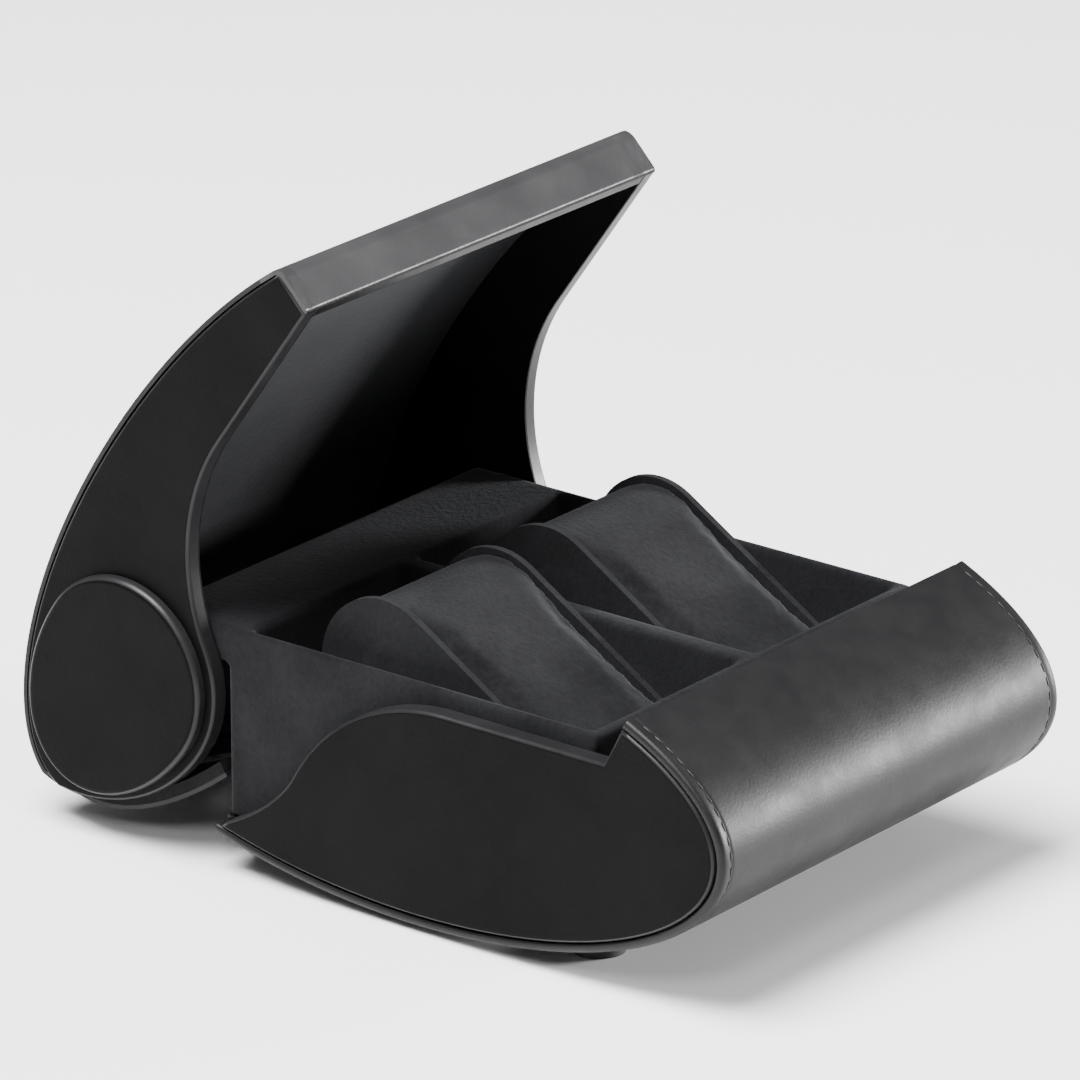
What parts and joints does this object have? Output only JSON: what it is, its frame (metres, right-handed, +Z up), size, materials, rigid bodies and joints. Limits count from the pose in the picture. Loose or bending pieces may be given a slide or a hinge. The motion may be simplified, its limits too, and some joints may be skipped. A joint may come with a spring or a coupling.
{
  "type": "watch box",
  "caption": "Leather watch box that opens like a shell: elliptical base and hinged lid, suede tray with two wells, and a loose watch cushion in each.",
  "frame": {"origin": "on the surface the box stands on, under the middle of its open outline", "axes": "+X to the box's right seen from the front, +Y to the back, +Z up; the nose of the base faces -Y"},
  "size_m": [0.1252, 0.191, 0.1413],
  "materials": {
    "shell_leather": "satin black fine-grain leather",
    "lip_leather": "satin black leather, folded and glued",
    "panel_leather": "matte black leather",
    "lining_leather": "smooth dark lining leather",
    "suede": "charcoal suede",
    "foam": "soft foam, hidden",
    "board": "bent board, hidden",
    "hinge_steel": "brushed",
    "foot_rubber": "matte"
  },
  "bodies": {
    "base": {"base_board": "board", "base_leather": "shell_leather", "base_lip": "lip_leather", "base_side_left_board": "board", "base_side_left_cover": "panel_leather", "base_side_right_board": "board", "base_side_right_cover": "panel_leather", "foot_back_left": "foot_rubber", "foot_back_right": "foot_rubber", "foot_front_left": "foot_rubber", "foot_front_right": "foot_rubber", "hinge_base_leaf_left": "hinge_steel", "hinge_base_leaf_right": "hinge_steel", "hinge_base_rivets": "hinge_steel", "hinge_pin_left": "hinge_steel", "hinge_pin_right": "hinge_steel", "tray_back_wall": "suede", "tray_bearer_left": "board", "tray_bearer_right": "board", "tray_divider": "suede", "tray_floor": "suede", "tray_front_wall": "suede", "tray_ledge": "suede", "tray_side_left": "suede", "tray_side_right": "suede"},
    "cushion_left": {"cushion_left_ends": "suede", "cushion_left_foam": "foam", "cushion_left_wrap": "suede"},
    "cushion_right": {"cushion_right_ends": "suede", "cushion_right_foam": "foam", "cushion_right_wrap": "suede"},
    "lid": {"hinge_lid_leaf_left": "hinge_steel", "hinge_lid_leaf_right": "hinge_steel", "hinge_lid_rivets": "hinge_steel", "lid_board": "board", "lid_cap_left": "panel_leather", "lid_cap_right": "panel_leather", "lid_cheek_left_board": "board", "lid_cheek_left_cover": "panel_leather", "lid_cheek_left_lining": "lining_leather", "lid_cheek_right_board": "board", "lid_cheek_right_cover": "panel_leather", "lid_cheek_right_lining": "lining_leather", "lid_leather": "shell_leather", "lid_liner": "suede", "lid_lip_core": "board", "lid_lip_cover": "lip_leather"}
  },
  "joints": [
    {"name": "lid_hinge", "type": "hinge", "parent": "base", "child": "lid", "pos_m": [0, 0.05312, 0.01705], "axis": [-1, 0, 0], "range_deg": [-54.58, 0]},
    {"name": "cushion_left_slide", "type": "slide", "parent": "base", "child": "cushion_left", "axis": [0, 1, 0], "range_m": [-0.003, 0.014]},
    {"name": "cushion_right_slide", "type": "slide", "parent": "base", "child": "cushion_right", "axis": [0, 1, 0], "range_m": [-0.003, 0.014]}
  ]
}
